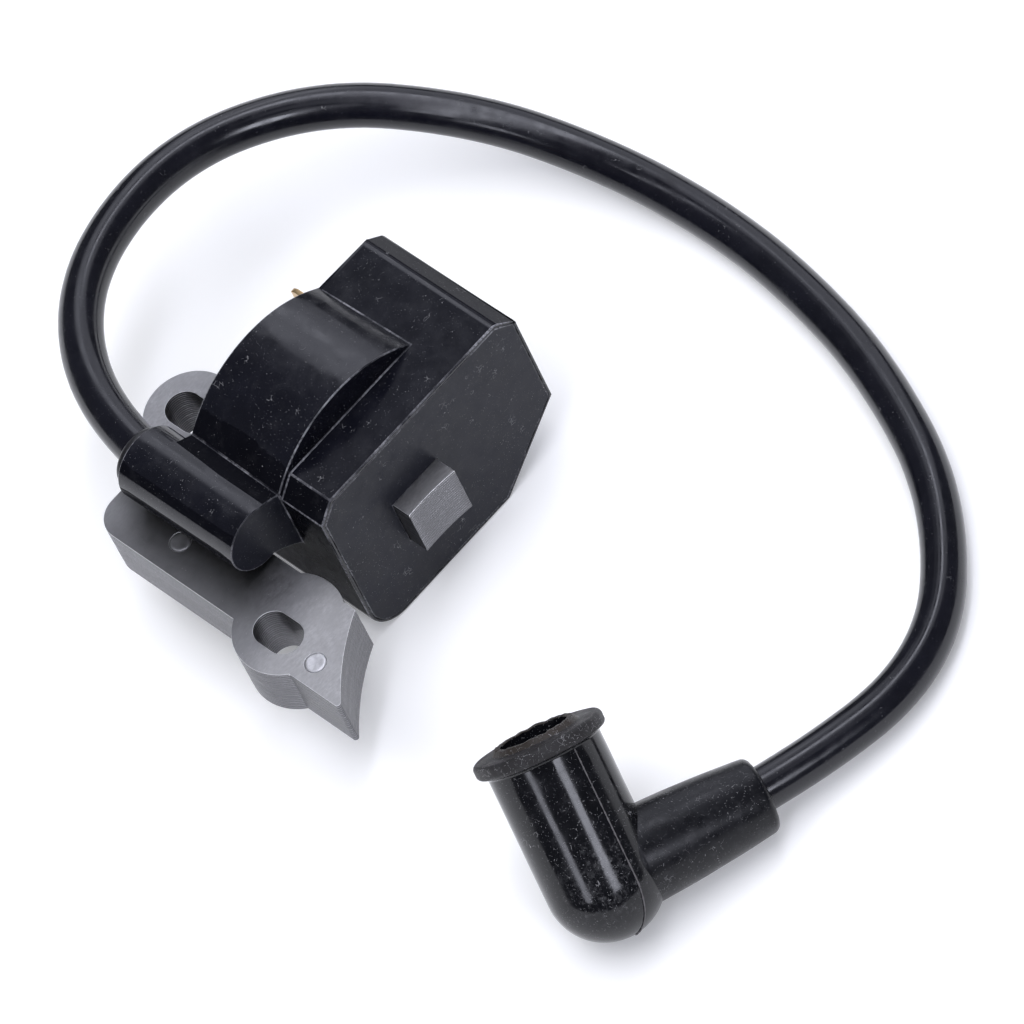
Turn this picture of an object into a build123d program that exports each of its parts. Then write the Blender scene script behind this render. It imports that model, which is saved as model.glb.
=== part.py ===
from build123d import *

import math
import os

# Ignition coil module of a small two-stroke or four-stroke engine: a riveted U core of steel
# laminations, a potted plastic case on one leg of the core, and a high-tension lead with a rubber
# spark plug boot. Millimetres. +Z is up and the case stands on z = 0. x = 0 is the middle of the
# core's coil leg, y = 0 the middle of the case's depth, and -Y points at the flywheel.

# ---- case ----
CASE_LEFT = -16.7
CASE_RIGHT = 26.7
CASE_FRONT = -14.1
CASE_BACK = 14.1
CASE_TOP = 34.4
CASE_WALL = 1.6
CASE_TOP_LEFT_CUT = 3.2
CASE_TOP_RIGHT_CUT = 3.5
CASE_TOP_RIGHT_DROP = 2.9
CASE_LOWER_RIGHT_Z = 10.8
CASE_LOWER_RIGHT_X = 12.7
CASE_LEFT_CORNER = 6.0
CASE_BOTTOM_CORNER = 3.0
CASE_RIGHT_CORNER = 4.0
RIM = 0.5
COVER_THICKNESS = 2.2

# ---- hump on the case's top, and the socket of the lead on its left ----
HUMP_X = -0.7
HUMP_Z = 19.3
HUMP_RADIUS = 20.8
HUMP_FRONT = -5.3
HUMP_SPRING_Z = 29.0
HUMP_DRAFT = 1.2
SOCKET_X = -22.6
SOCKET_Z = 28.5
SOCKET_FRONT = -5.1
SOCKET_BACK = 19.3
SOCKET_RADIUS = 5.8
SOCKET_DRAFT = -0.7
# The web between socket and case, in x and z: its crest, its top and bottom at the case, and its
# curved underside.
WEB_CREST = (-19.6, 33.6)
WEB_CREST_END = 33.9
WEB_TOP = 32.2
WEB_BOTTOM = 18.0
WEB_BELLY = (-18.8, 20.9)
WEB_BELLY_END = 23.1
SEAL_LENGTH = 2.0
SEAL_RADIUS = 5.2
SEAL_EDGE = 1.2
SEAL_GAP = 0.1

# ---- core ----
SHEET = 0.5
SHEET_COUNT = 20
CORE_BOTTOM = 11.6
CORE_THICKNESS = SHEET * SHEET_COUNT
CORE_TOP = CORE_BOTTOM + CORE_THICKNESS
CORE_MIDDLE = CORE_BOTTOM + CORE_THICKNESS / 2
LEG_WIDTH = 9.8
BAR_LEFT = -33.4
BAR_RIGHT = -21.6
YOKE_FRONT = CASE_BACK
YOKE_BACK = 24.0
FOOT_LEFT = -35.5
FLYWHEEL_X = -1.9
FLYWHEEL_Y = -63.1
FLYWHEEL_RADIUS = 45.7
FOOT_BACK_OFFSET = 4.0
BAR_CORNER = 4.5
LEG_CORNER = 1.5
FOOT_CORNER = 0.5
INNER_CORNER = 1.0
FRONT_EAR = (-29.2, -14.8)
FRONT_EAR_RADIUS = 8.9
FRONT_SLOT = (-31.2, -14.6)
REAR_EAR = (-10.6, 24.6)
REAR_EAR_RADIUS = 7.5
SLOT_LENGTH = 8.7
SLOT_WIDTH = 5.9
RIVET_RADIUS = 1.75
RIVET_STAND = 0.1
RIVETS = {
    "foot_rivet": (-31.8, -23.1),
    "bar_rivet": (-28.2, 9.6),
    "yoke_rivet": (0.6, 19.1),
}

# ---- coil ----
BOBBIN_WALL = 1.0
PRIMARY_FRONT = -11.4
PRIMARY_BACK = 9.0
PRIMARY_FLANGE = 1.2
PRIMARY_SIZE = (15.0, 15.4)
DIVIDER_FRONT = 3.4
DIVIDER_THICKNESS = 0.8
WIRE_INSET = 0.3
SECONDARY_FRONT = -10.8
SECONDARY_BACK = 8.4
SECONDARY_RADIUS = 14.6
SECONDARY_WINDING_RADIUS = 13.9
SECONDARY_WALL = 0.8
SECONDARY_CHAMBERS = 5

# ---- electronics ----
BOARD_X = 16.2
BOARD_THICKNESS = 1.2
BOARD_SIZE = (20.0, 23.0)
BOARD_Z = 20.0
CAPACITOR_SIZE = (13.0, 9.0)
CAPACITOR_PLACE = (-2.0, 25.4)
CAPACITOR_THICKNESS = 5.6
CAPACITOR_CORNER = 1.5
THYRISTOR_Y = -5.0
THYRISTOR_Z = 12.4
THYRISTOR_RADIUS = 2.4
THYRISTOR_HEIGHT = 5.0
# Height, radius and length of the components that lie along y.
AXIAL_COMPONENTS = {
    "charge_diode": (18.0, 1.3, 5.0),
    "clamp_diode": (14.2, 1.3, 5.0),
    "gate_resistor": (11.0, 1.1, 6.0),
}
BLADE_X = 11.0
BLADE_WIDTH = 4.8
BLADE_THICKNESS = 0.8
BLADE_TOP = 33.6
BLADE_BACK = 18.3
BLADE_INNER = 10.4
BLADE_POINT = 1.0
BLADE_TOP_POINT = 0.6
BLADE_BOTTOM_POINT = 1.2
KILL_WIRE_RADIUS = 0.35
KILL_WIRE_Y = 11.3
KILL_WIRE_Z = 30.5
STRAP_Y = 10.6
STRAP_THICKNESS = 0.4
STRAP_WIDTH = 4.0
STRAP_FOOT = 1.6

# ---- lead and spark plug boot ----
LEAD_RADIUS = 3.5
CONDUCTOR_RADIUS = 0.9
LEAD_START_Y = 8.0
BOOT_RADIUS = 9.0
BOOT_CENTRE = (-30.9, -78.3, BOOT_RADIUS)
BOOT_AXIS = (0.325, 0.653, 0.684)
BOOT_LENGTH = 23.6
FLANGE_RADIUS = 10.4
FLANGE_THICKNESS = 2.0
FLANGE_EDGE = 0.8
COLLAR_RADIUS = 6.6
COLLAR_HEIGHT = 1.0
BORE_RADIUS = 5.4
BORE_LENGTH = 14.0
CHAMBER_RADIUS = 4.3
# The side sleeve slopes down to the surface, in degrees, and bulges a little before it narrows.
SLEEVE_SLOPE = 10.6
SLEEVE_HEIGHT = 1.0
SLEEVE_LENGTH = 27.0
SLEEVE_ROOT_RADIUS = 7.5
SLEEVE_MIDDLE = (14.0, 7.1)
SLEEVE_END_RADIUS = 5.9
SLEEVE_EDGE = 1.2
LEAD_END = 9.0
LAST_TURN = 31.0
SPRING_RADIUS = 3.3
SPRING_WIRE = 0.5
SPRING_PITCH = 1.8
SPRING_HEIGHT = 7.4

os.makedirs("parts", exist_ok=True)


def facing(y):
    """Plane across the depth at this y, drawn in x and z. A negative extrusion goes back, to +Y."""
    return Plane.XZ.offset(-y)


def save(builder, label):
    builder.part.label = label
    export_step(builder.part, f"parts/{label}.step")


def case_section(inset):
    """Octagonal cross-section of the case, smaller by inset all round."""
    with BuildSketch() as section:
        with BuildLine():
            Polyline(
                (CASE_LEFT, CASE_TOP - CASE_TOP_LEFT_CUT),
                (CASE_LEFT + CASE_TOP_LEFT_CUT, CASE_TOP),
                (CASE_RIGHT - CASE_TOP_RIGHT_CUT, CASE_TOP),
                (CASE_RIGHT, CASE_TOP - CASE_TOP_RIGHT_DROP),
                (CASE_RIGHT, CASE_LOWER_RIGHT_Z),
                (CASE_LOWER_RIGHT_X, 0),
                (CASE_LEFT, 0),
                close=True,
            )
        make_face()
        corners = section.vertices()
        fillet(corners.sort_by_distance((CASE_LEFT, 0, 0))[0], radius=CASE_LEFT_CORNER)
        fillet(corners.sort_by_distance((CASE_LOWER_RIGHT_X, 0, 0))[0], radius=CASE_BOTTOM_CORNER)
        right_corner = corners.sort_by_distance((CASE_RIGHT, CASE_LOWER_RIGHT_Z, 0))[0]
        fillet(right_corner, radius=CASE_RIGHT_CORNER)
        if inset:
            offset(amount=-inset, kind=Kind.INTERSECTION)
    return section.sketch


def hump_section(inset):
    """Round crown over the coil, above the case's upper part."""
    with BuildSketch() as section:
        with Locations((HUMP_X, HUMP_Z)):
            Circle(HUMP_RADIUS - inset)
        with Locations((HUMP_X, HUMP_SPRING_Z)):
            Rectangle(4 * HUMP_RADIUS, 4 * HUMP_RADIUS, align=(Align.CENTER, Align.MAX), mode=Mode.SUBTRACT)
        with Locations((CASE_LEFT + inset, HUMP_SPRING_Z)):
            Rectangle(HUMP_RADIUS, HUMP_RADIUS, align=(Align.MAX, Align.MIN), mode=Mode.SUBTRACT)
    return section.sketch


# ---- core: a skin sheet above and below, and the sheets between them ----

FOOT_BACK = FRONT_EAR[1] - FOOT_BACK_OFFSET
# Far enough forward for the flywheel's circle to cut the foot and the leg's end.
FOOT_FRONT = FLYWHEEL_Y + 0.6 * FLYWHEEL_RADIUS


def core_plan():
    """Plan of one lamination: a U with a foot, a coil leg and two slotted ears."""
    with BuildSketch() as plan:
        with Locations((BAR_LEFT, YOKE_BACK)):
            Rectangle(BAR_RIGHT - BAR_LEFT, YOKE_BACK - FOOT_BACK, align=(Align.MIN, Align.MAX))
        with Locations((BAR_LEFT, YOKE_FRONT)):
            Rectangle(LEG_WIDTH / 2 - BAR_LEFT, YOKE_BACK - YOKE_FRONT, align=(Align.MIN, Align.MIN))
        with Locations((0, YOKE_BACK)):
            Rectangle(LEG_WIDTH, YOKE_BACK - FOOT_FRONT, align=(Align.CENTER, Align.MAX))
        with Locations((FOOT_LEFT, FOOT_BACK)):
            Rectangle(BAR_RIGHT - FOOT_LEFT, FOOT_BACK - FOOT_FRONT, align=(Align.MIN, Align.MAX))
        with Locations(FRONT_EAR):
            Circle(FRONT_EAR_RADIUS)
        with Locations(REAR_EAR):
            Circle(REAR_EAR_RADIUS)
        with Locations((FLYWHEEL_X, FLYWHEEL_Y)):
            Circle(FLYWHEEL_RADIUS, mode=Mode.SUBTRACT)
        fillet(plan.vertices().sort_by_distance((BAR_LEFT, YOKE_BACK, 0))[0], radius=BAR_CORNER)
        fillet(plan.vertices().sort_by_distance((LEG_WIDTH / 2, YOKE_BACK, 0))[0], radius=LEG_CORNER)
        fillet(plan.vertices().sort_by_distance((FOOT_LEFT, FOOT_FRONT, 0))[0], radius=FOOT_CORNER)
        fillet(plan.vertices().sort_by_distance((BAR_RIGHT, YOKE_FRONT, 0))[0], radius=INNER_CORNER)
        with Locations(FRONT_SLOT, REAR_EAR):
            SlotOverall(SLOT_LENGTH, SLOT_WIDTH, rotation=90, mode=Mode.SUBTRACT)
        with Locations(*RIVETS.values()):
            Circle(RIVET_RADIUS, mode=Mode.SUBTRACT)
    return plan.sketch


lamination = core_plan()

with BuildPart() as core_stack:
    with BuildSketch(Plane.XY.offset(CORE_BOTTOM + SHEET)):
        add(lamination)
    extrude(amount=CORE_THICKNESS - 2 * SHEET)
save(core_stack, "core_stack")

with BuildPart() as top_lamination:
    with BuildSketch(Plane.XY.offset(CORE_TOP - SHEET)):
        add(lamination)
    extrude(amount=SHEET)
save(top_lamination, "top_lamination")

with BuildPart() as bottom_lamination:
    with BuildSketch(Plane.XY.offset(CORE_BOTTOM)):
        add(lamination)
    extrude(amount=SHEET)
save(bottom_lamination, "bottom_lamination")

for rivet_name, rivet_place in RIVETS.items():
    with BuildPart() as rivet:
        with BuildSketch(Plane.XY.offset(CORE_BOTTOM - RIVET_STAND)):
            with Locations(rivet_place):
                Circle(RIVET_RADIUS)
        extrude(amount=CORE_THICKNESS + 2 * RIVET_STAND)
    save(rivet, rivet_name)


# ---- case: a shell open to the front, its cover, and the socket of the lead ----

CAVITY_FRONT = CASE_FRONT + COVER_THICKNESS
CAVITY_DEPTH = CASE_BACK - CASE_WALL - CAVITY_FRONT
HUMP_WALL = 1.8
WEB_ROOT = CASE_LEFT + CASE_WALL / 2
PIN_RADIUS = 1.0
PIN_FRONT = -2.0
LINK_RADIUS = 0.4
LINK_Y = 0.0
LINK_GAP = 0.3
LINK_LENGTH = 12.4

with BuildPart() as case_shell:
    with BuildSketch(facing(CASE_FRONT)):
        add(case_section(0))
    extrude(amount=CASE_FRONT - CASE_BACK)
    with BuildSketch(facing(HUMP_FRONT)):
        add(hump_section(0))
    extrude(amount=HUMP_FRONT - CASE_BACK, taper=HUMP_DRAFT)
    # Socket tube, which widens a little to the back, and the web that carries it.
    with BuildSketch(facing(SOCKET_FRONT)):
        with Locations((SOCKET_X, SOCKET_Z)):
            Circle(SOCKET_RADIUS)
    extrude(amount=SOCKET_FRONT - SOCKET_BACK, taper=SOCKET_DRAFT)
    with BuildSketch(facing(SOCKET_FRONT)):
        with BuildLine():
            Line((SOCKET_X, WEB_CREST_END), WEB_CREST)
            Line(WEB_CREST, (WEB_ROOT, WEB_TOP))
            Line((WEB_ROOT, WEB_TOP), (WEB_ROOT, WEB_BOTTOM))
            ThreePointArc((WEB_ROOT, WEB_BOTTOM), WEB_BELLY, (SOCKET_X, WEB_BELLY_END))
            Line((SOCKET_X, WEB_BELLY_END), (SOCKET_X, WEB_CREST_END))
        make_face()
    extrude(amount=SOCKET_FRONT - CASE_BACK)
    # Cavity for the coil, its ledge for the cover, and the crown's hollow.
    with BuildSketch(facing(CASE_FRONT)):
        add(case_section(RIM))
    extrude(amount=-COVER_THICKNESS, mode=Mode.SUBTRACT)
    with BuildSketch(facing(CAVITY_FRONT)):
        add(case_section(CASE_WALL))
    extrude(amount=-CAVITY_DEPTH, mode=Mode.SUBTRACT)
    with BuildSketch(facing(HUMP_FRONT + HUMP_WALL)):
        add(hump_section(HUMP_WALL))
    extrude(amount=HUMP_FRONT + HUMP_WALL - CASE_BACK + CASE_WALL, mode=Mode.SUBTRACT)
    # Windows for the core's leg and the kill-switch blade, and the bores of the socket.
    with BuildSketch(facing(0)):
        with Locations((0, CORE_MIDDLE)):
            Rectangle(LEG_WIDTH, CORE_THICKNESS)
        with Locations((BLADE_X, BLADE_TOP)):
            Rectangle(BLADE_THICKNESS, BLADE_WIDTH, align=(Align.CENTER, Align.MAX))
    extrude(amount=-CASE_BACK, mode=Mode.SUBTRACT)
    with BuildSketch(facing(LEAD_START_Y)):
        with Locations((SOCKET_X, SOCKET_Z)):
            Circle(LEAD_RADIUS)
    extrude(amount=LEAD_START_Y - SOCKET_BACK, mode=Mode.SUBTRACT)
    with BuildSketch(facing(PIN_FRONT)):
        with Locations((SOCKET_X, SOCKET_Z)):
            Circle(PIN_RADIUS)
    extrude(amount=PIN_FRONT - LEAD_START_Y, mode=Mode.SUBTRACT)
    with BuildSketch(Plane.YZ.offset(SOCKET_X)):
        with Locations((LINK_Y, SOCKET_Z)):
            Circle(LINK_RADIUS)
    extrude(amount=CASE_LEFT + CASE_WALL - SOCKET_X, mode=Mode.SUBTRACT)
save(case_shell, "case_shell")

with BuildPart() as front_cover:
    with BuildSketch(facing(CASE_FRONT)):
        add(case_section(RIM))
        with Locations((0, CORE_MIDDLE)):
            Rectangle(LEG_WIDTH, CORE_THICKNESS, mode=Mode.SUBTRACT)
    extrude(amount=-COVER_THICKNESS)
save(front_cover, "front_cover")


# ---- coil: primary and trigger windings on one bobbin, and the chambered secondary around it ----


def leg_ring(size, corner, hole=None, hole_corner=0):
    """Rounded rectangle around the coil leg, with a rounded rectangular hole."""
    with BuildSketch() as ring:
        with Locations((0, CORE_MIDDLE)):
            RectangleRounded(*size, corner)
            if hole and hole_corner:
                RectangleRounded(*hole, hole_corner, mode=Mode.SUBTRACT)
            elif hole:
                Rectangle(*hole, mode=Mode.SUBTRACT)
    return ring.sketch


LEG_SIZE = (LEG_WIDTH, CORE_THICKNESS)
TUBE_SIZE = (LEG_WIDTH + 2 * BOBBIN_WALL, CORE_THICKNESS + 2 * BOBBIN_WALL)
WIRE_SIZE = (PRIMARY_SIZE[0] - 2 * WIRE_INSET, PRIMARY_SIZE[1] - 2 * WIRE_INSET)
SLEEVE_SIZE = (PRIMARY_SIZE[0] + 2 * SECONDARY_WALL, PRIMARY_SIZE[1] + 2 * SECONDARY_WALL)
TUBE_CORNER = 0.8
FLANGE_CORNER = 2.0
PRIMARY_WIRE_FRONT = PRIMARY_FRONT + PRIMARY_FLANGE
PRIMARY_WIRE_BACK = PRIMARY_BACK - PRIMARY_FLANGE
DIVIDER_BACK = DIVIDER_FRONT + DIVIDER_THICKNESS

with BuildPart() as primary_bobbin:
    with BuildSketch(facing(PRIMARY_FRONT)):
        add(leg_ring(TUBE_SIZE, TUBE_CORNER, LEG_SIZE))
    extrude(amount=PRIMARY_FRONT - PRIMARY_BACK)
    flanges = (
        (PRIMARY_FRONT, PRIMARY_FLANGE),
        (DIVIDER_FRONT, DIVIDER_THICKNESS),
        (PRIMARY_WIRE_BACK, PRIMARY_FLANGE),
    )
    for flange_y, thickness in flanges:
        with BuildSketch(facing(flange_y)):
            add(leg_ring(PRIMARY_SIZE, FLANGE_CORNER, LEG_SIZE))
        extrude(amount=-thickness)
save(primary_bobbin, "primary_bobbin")

with BuildPart() as primary_winding:
    with BuildSketch(facing(PRIMARY_WIRE_FRONT)):
        add(leg_ring(WIRE_SIZE, FLANGE_CORNER, TUBE_SIZE, TUBE_CORNER))
    extrude(amount=PRIMARY_WIRE_FRONT - DIVIDER_FRONT)
save(primary_winding, "primary_winding")

with BuildPart() as trigger_winding:
    with BuildSketch(facing(DIVIDER_BACK)):
        add(leg_ring(WIRE_SIZE, FLANGE_CORNER, TUBE_SIZE, TUBE_CORNER))
    extrude(amount=DIVIDER_BACK - PRIMARY_WIRE_BACK)
save(trigger_winding, "trigger_winding")

SECONDARY_LENGTH = SECONDARY_BACK - SECONDARY_FRONT
CHAMBER_PITCH = (SECONDARY_LENGTH - SECONDARY_WALL) / SECONDARY_CHAMBERS

with BuildPart() as secondary_bobbin:
    with BuildSketch(facing(SECONDARY_FRONT)):
        add(leg_ring(SLEEVE_SIZE, FLANGE_CORNER + SECONDARY_WALL, PRIMARY_SIZE, FLANGE_CORNER))
    extrude(amount=-SECONDARY_LENGTH)
    for chamber in range(SECONDARY_CHAMBERS + 1):
        with BuildSketch(facing(SECONDARY_FRONT + chamber * CHAMBER_PITCH)):
            with Locations((0, CORE_MIDDLE)):
                Circle(SECONDARY_RADIUS)
            add(leg_ring(PRIMARY_SIZE, FLANGE_CORNER), mode=Mode.SUBTRACT)
        extrude(amount=-SECONDARY_WALL)
save(secondary_bobbin, "secondary_bobbin")

with BuildPart() as secondary_winding:
    for chamber in range(SECONDARY_CHAMBERS):
        with BuildSketch(facing(SECONDARY_FRONT + chamber * CHAMBER_PITCH + SECONDARY_WALL)):
            with Locations((0, CORE_MIDDLE)):
                Circle(SECONDARY_WINDING_RADIUS)
            add(leg_ring(SLEEVE_SIZE, FLANGE_CORNER + SECONDARY_WALL), mode=Mode.SUBTRACT)
        extrude(amount=SECONDARY_WALL - CHAMBER_PITCH)
save(secondary_winding, "secondary_winding")


# ---- electronics on a board at the right of the coil ----

BOARD_FACE = BOARD_X + BOARD_THICKNESS

with BuildPart() as circuit_board:
    with BuildSketch(Plane.YZ.offset(BOARD_X)):
        with Locations((0, BOARD_Z)):
            Rectangle(*BOARD_SIZE)
    extrude(amount=BOARD_THICKNESS)
save(circuit_board, "circuit_board")

with BuildPart() as discharge_capacitor:
    with BuildSketch(Plane.YZ.offset(BOARD_FACE)):
        with Locations(CAPACITOR_PLACE):
            RectangleRounded(*CAPACITOR_SIZE, CAPACITOR_CORNER)
    extrude(amount=CAPACITOR_THICKNESS)
save(discharge_capacitor, "discharge_capacitor")

with BuildPart() as thyristor:
    with BuildSketch(Plane.XY.offset(THYRISTOR_Z)):
        with Locations((BOARD_FACE, THYRISTOR_Y)):
            Circle(THYRISTOR_RADIUS)
            behind = 2 * THYRISTOR_RADIUS
            Rectangle(behind, behind, align=(Align.MAX, Align.CENTER), mode=Mode.SUBTRACT)
    extrude(amount=THYRISTOR_HEIGHT)
save(thyristor, "thyristor")

axial_parts = []
for component, (height, radius, length) in AXIAL_COMPONENTS.items():
    with BuildPart() as axial_component:
        with BuildSketch(facing(0)):
            with Locations((BOARD_FACE + radius, height)):
                Circle(radius)
        extrude(amount=-length)
    save(axial_component, component)
    axial_parts.append(axial_component)

with BuildPart() as kill_blade:
    with BuildSketch(Plane.YZ.offset(BLADE_X - BLADE_THICKNESS / 2)):
        with BuildLine():
            Polyline(
                (BLADE_INNER, BLADE_TOP - BLADE_WIDTH),
                (BLADE_BACK - BLADE_POINT, BLADE_TOP - BLADE_WIDTH),
                (BLADE_BACK, BLADE_TOP - BLADE_WIDTH + BLADE_BOTTOM_POINT),
                (BLADE_BACK, BLADE_TOP - BLADE_TOP_POINT),
                (BLADE_BACK - BLADE_POINT, BLADE_TOP),
                (BLADE_INNER, BLADE_TOP),
                close=True,
            )
        make_face()
    extrude(amount=BLADE_THICKNESS)
save(kill_blade, "kill_blade")

with BuildPart() as kill_wire:
    with BuildSketch(Plane.YZ.offset(BLADE_X + BLADE_THICKNESS / 2)):
        with Locations((KILL_WIRE_Y, KILL_WIRE_Z)):
            Circle(KILL_WIRE_RADIUS)
    extrude(amount=BOARD_X + BOARD_THICKNESS / 2 - BLADE_X - BLADE_THICKNESS / 2)
save(kill_wire, "kill_wire")

with BuildPart() as ground_strap:
    with BuildSketch(Plane.XY.offset(CORE_MIDDLE - STRAP_WIDTH / 2)):
        with Locations((LEG_WIDTH / 2, STRAP_Y)):
            Rectangle(BOARD_X - LEG_WIDTH / 2, STRAP_THICKNESS, align=(Align.MIN, Align.MIN))
            Rectangle(STRAP_THICKNESS, STRAP_FOOT, align=(Align.MIN, Align.MIN))
    extrude(amount=STRAP_WIDTH)
save(ground_strap, "ground_strap")


# ---- high-tension output: link wire, contact pin, and the seal at the socket's end ----

with BuildPart() as output_link:
    with BuildSketch(Plane.YZ.offset(SOCKET_X + PIN_RADIUS + LINK_GAP)):
        with Locations((LINK_Y, SOCKET_Z)):
            Circle(LINK_RADIUS)
    extrude(amount=LINK_LENGTH)
save(output_link, "output_link")

with BuildPart() as output_pin:
    with BuildSketch(facing(PIN_FRONT)):
        with Locations((SOCKET_X, SOCKET_Z)):
            Circle(PIN_RADIUS)
    extrude(amount=PIN_FRONT - LEAD_START_Y)
save(output_pin, "output_pin")

with BuildPart() as lead_seal:
    with BuildSketch(facing(SOCKET_BACK)):
        with Locations((SOCKET_X, SOCKET_Z)):
            Circle(SEAL_RADIUS)
    extrude(amount=-SEAL_LENGTH)
    fillet(lead_seal.edges().filter_by(GeomType.CIRCLE).sort_by(Axis.Y)[-1], radius=SEAL_EDGE)
    with BuildSketch(facing(SOCKET_BACK)):
        with Locations((SOCKET_X, SOCKET_Z)):
            Circle(LEAD_RADIUS + SEAL_GAP)
    extrude(amount=-SEAL_LENGTH, mode=Mode.SUBTRACT)
save(lead_seal, "lead_seal")


# ---- spark plug boot ----

boot_origin = Vector(*BOOT_CENTRE)
boot_up = Vector(*BOOT_AXIS).normalized()
level_side = Vector(boot_up.Y, -boot_up.X, 0).normalized()
slope = math.radians(SLEEVE_SLOPE)
sleeve_out = level_side * math.cos(slope) + boot_up.cross(level_side) * math.sin(slope)
sleeve_origin = boot_origin + boot_up * SLEEVE_HEIGHT
boot_axis = Axis(boot_origin, boot_up)
half_section = Plane(origin=boot_origin, x_dir=sleeve_out, z_dir=sleeve_out.cross(boot_up))
sleeve_section = Plane(origin=sleeve_origin, x_dir=sleeve_out, z_dir=sleeve_out.cross(boot_up))
CHAMBER_BOTTOM = -1.4
CUP_THICKNESS = 0.6
CUP_BOTTOM = 1.6
CUP_GAP = 0.2
STEM_RADIUS = 1.2
FLANGE_TAPER = 0.6
COLLAR_TAPER = 0.4
SLEEVE_FLARE = 0.4
SLEEVE_FLARE_LENGTH = 4.0
BORE_BOTTOM = BOOT_LENGTH + COLLAR_HEIGHT - BORE_LENGTH


def boot_level(height):
    """Plane across the boot's axis, this far above the centre of its round end."""
    return Plane(origin=boot_origin + boot_up * height, x_dir=sleeve_out, z_dir=boot_up)


def sleeve_level(distance):
    """Plane across the side sleeve, this far from the boot's axis."""
    return Plane(origin=sleeve_origin + sleeve_out * distance, x_dir=boot_up, z_dir=sleeve_out)


with BuildPart() as boot:
    with BuildSketch(half_section) as boot_profile:
        with BuildLine():
            flange_foot = BOOT_LENGTH - FLANGE_THICKNESS
            Polyline((0, -BOOT_RADIUS), (0, BOOT_LENGTH + COLLAR_HEIGHT))
            Polyline(
                (0, BOOT_LENGTH + COLLAR_HEIGHT),
                (COLLAR_RADIUS - COLLAR_TAPER, BOOT_LENGTH + COLLAR_HEIGHT),
                (COLLAR_RADIUS, BOOT_LENGTH),
                (FLANGE_RADIUS, BOOT_LENGTH),
                (FLANGE_RADIUS, flange_foot),
                (BOOT_RADIUS, flange_foot - FLANGE_TAPER),
                (BOOT_RADIUS, 0),
            )
            JernArc((BOOT_RADIUS, 0), (0, -1), BOOT_RADIUS, -90)
        make_face()
        rim = (FLANGE_RADIUS, BOOT_LENGTH - FLANGE_THICKNESS / 2, 0)
        fillet(boot_profile.vertices().sort_by_distance(rim)[:2], radius=FLANGE_EDGE)
    revolve(axis=boot_axis)
    with BuildSketch(sleeve_section) as sleeve_profile:
        with BuildLine():
            Polyline((SLEEVE_LENGTH, SLEEVE_END_RADIUS), (SLEEVE_LENGTH, 0), (0, 0), (0, SLEEVE_ROOT_RADIUS))
            ThreePointArc((0, SLEEVE_ROOT_RADIUS), SLEEVE_MIDDLE, (SLEEVE_LENGTH, SLEEVE_END_RADIUS))
        make_face()
        end_corner = (SLEEVE_LENGTH, SLEEVE_END_RADIUS, 0)
        fillet(sleeve_profile.vertices().sort_by_distance(end_corner)[0], radius=SLEEVE_EDGE)
    revolve(axis=Axis(sleeve_origin, sleeve_out))
    with BuildSketch(boot_level(BORE_BOTTOM)):
        Circle(BORE_RADIUS)
    extrude(amount=BORE_LENGTH, mode=Mode.SUBTRACT)
    with BuildSketch(boot_level(CHAMBER_BOTTOM)):
        Circle(CHAMBER_RADIUS)
    extrude(amount=BORE_BOTTOM - CHAMBER_BOTTOM, mode=Mode.SUBTRACT)
    with BuildSketch(sleeve_level(LEAD_END)):
        Circle(LEAD_RADIUS)
    extrude(amount=SLEEVE_LENGTH - LEAD_END, mode=Mode.SUBTRACT)
    with BuildSketch(sleeve_level(SLEEVE_LENGTH - SLEEVE_FLARE_LENGTH)):
        Circle(LEAD_RADIUS)
    with BuildSketch(sleeve_level(SLEEVE_LENGTH)):
        Circle(LEAD_RADIUS + SLEEVE_FLARE)
    loft(mode=Mode.SUBTRACT)
    with BuildSketch(sleeve_level(0)):
        Circle(SPRING_WIRE)
    extrude(amount=LEAD_END, mode=Mode.SUBTRACT)
save(boot, "boot")

with BuildPart() as boot_contact:
    with BuildSketch(boot_level(CUP_BOTTOM)):
        Circle(CHAMBER_RADIUS - CUP_GAP)
    extrude(amount=CUP_THICKNESS)
    with BuildSketch(boot_level(-SPRING_WIRE / 2)):
        Circle(STEM_RADIUS)
    extrude(amount=CUP_BOTTOM + SPRING_WIRE / 2)
    with BuildSketch(sleeve_level(0)):
        Circle(SPRING_WIRE)
    extrude(amount=LEAD_END)
save(boot_contact, "boot_contact")

spring_foot = CUP_BOTTOM + CUP_THICKNESS + SPRING_WIRE
spring_path = Helix(
    pitch=SPRING_PITCH,
    height=SPRING_HEIGHT,
    radius=SPRING_RADIUS,
    center=tuple(boot_origin + boot_up * spring_foot),
    direction=tuple(boot_up),
)
with BuildPart() as plug_spring:
    with BuildSketch(Plane(origin=spring_path @ 0, z_dir=spring_path % 0)):
        Circle(SPRING_WIRE)
    sweep(path=spring_path, is_frenet=True)
save(plug_spring, "plug_spring")


# ---- high-tension lead: out of the socket, down to the surface, round and into the boot's sleeve ----

last_turn = sleeve_origin + sleeve_out * LAST_TURN
lead_end = sleeve_origin + sleeve_out * LEAD_END
route = [
    (SOCKET_X, LEAD_START_Y, SOCKET_Z),
    (SOCKET_X, 29.0, SOCKET_Z),
    (-7.0, 53.0, 26.5),
    (20.0, 60.2, 23.0),
    (43.0, 51.0, 17.5),
    (57.4, 32.0, 11.0),
    (64.3, 12.0, 6.0),
    (66.6, -8.0, 3.7),
    (65.3, -27.0, LEAD_RADIUS),
    (60.5, -49.0, LEAD_RADIUS),
    (49.0, -74.0, LEAD_RADIUS),
    (27.5, -92.0, LEAD_RADIUS),
    tuple(last_turn),
    tuple(lead_end),
]


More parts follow.
